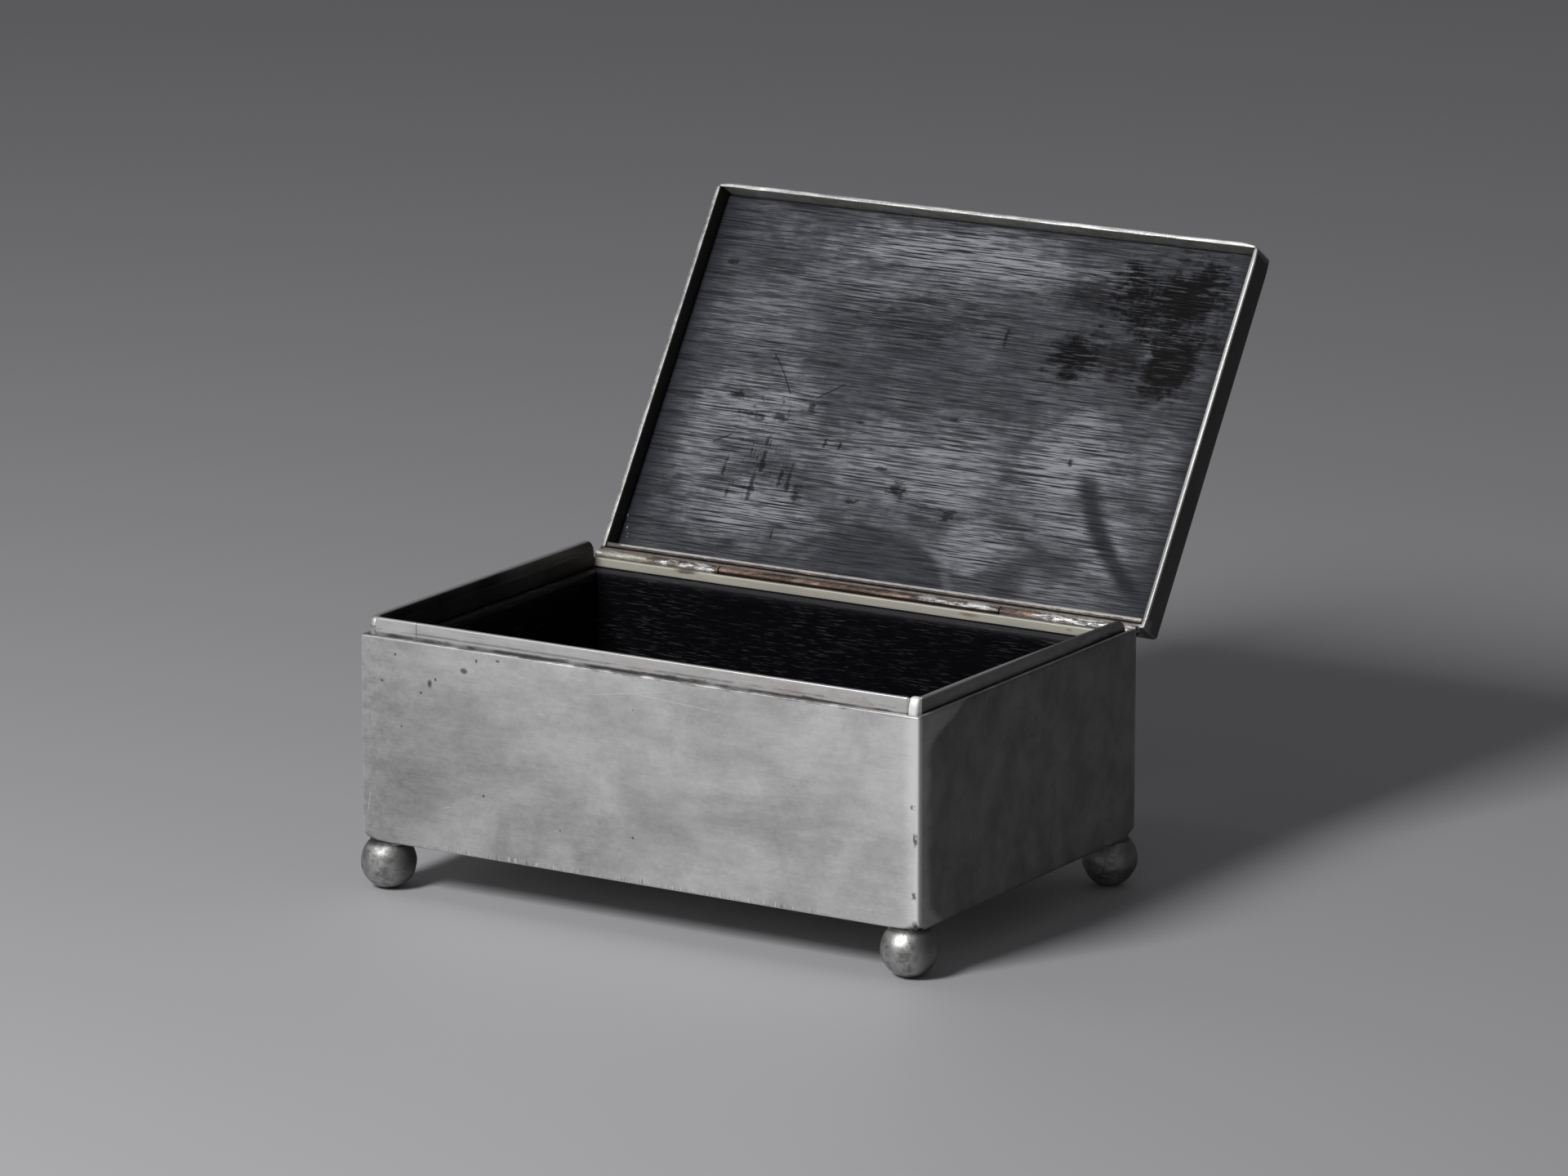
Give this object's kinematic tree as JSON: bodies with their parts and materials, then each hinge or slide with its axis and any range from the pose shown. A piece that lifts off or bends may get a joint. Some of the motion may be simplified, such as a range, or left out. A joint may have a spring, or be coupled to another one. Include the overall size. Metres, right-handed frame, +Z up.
{
  "type": "lidded box",
  "caption": "Rectangular pewter box with a hinged lid on a full-width tube hinge, ball feet and a dark wood lining, shown open.",
  "frame": {"origin": "on the table, under the middle of the bounding box of the box with its lid open", "axes": "+X along the front to the viewer's right, +Y from the front towards the hinge, +Z up"},
  "size_m": [0.1692, 0.1792, 0.1556],
  "materials": {
    "pewter": "satin pewter sheet, cloudy with age",
    "ball_pewter": "polished pewter, mottled with small dents",
    "solder": "bright scraped solder",
    "nickel_strip": "cream white metal, satin",
    "hinge_tube": "pewter tube stained brown, with grey solder",
    "hinge_wire": "dull steel wire",
    "black_wood": "black stained wood, satin",
    "panel_wood": "dark stained wood, worn and scratched"
  },
  "bodies": {
    "box": {"front_wall": "pewter", "right_wall": "pewter", "back_wall": "pewter", "left_wall": "pewter", "bottom_plate": "pewter", "foot_front_left": "ball_pewter", "foot_front_right": "ball_pewter", "foot_back_left": "ball_pewter", "foot_back_right": "ball_pewter", "front_collar": "pewter", "left_collar": "pewter", "right_collar": "pewter", "collar_post_left": "solder", "collar_post_right": "solder", "back_bearer": "nickel_strip", "lining_front": "black_wood", "lining_back": "black_wood", "lining_left": "black_wood", "lining_right": "black_wood", "lining_base": "black_wood", "hinge_knuckle_left": "hinge_tube", "hinge_knuckle_right": "hinge_tube", "hinge_pin": "hinge_wire"},
    "lid": {"lid_front_skirt": "pewter", "lid_right_skirt": "pewter", "lid_rear_skirt": "pewter", "lid_left_skirt": "pewter", "lid_plate": "pewter", "lid_bearer": "nickel_strip", "lid_panel": "panel_wood", "hinge_knuckle_middle": "hinge_tube"}
  },
  "joints": [
    {"name": "lid_hinge", "type": "hinge", "parent": "box", "child": "lid", "pos_m": [0, 0.02214, 0.06567], "axis": [1, 0, 0], "range_deg": [0, 123.24]}
  ]
}
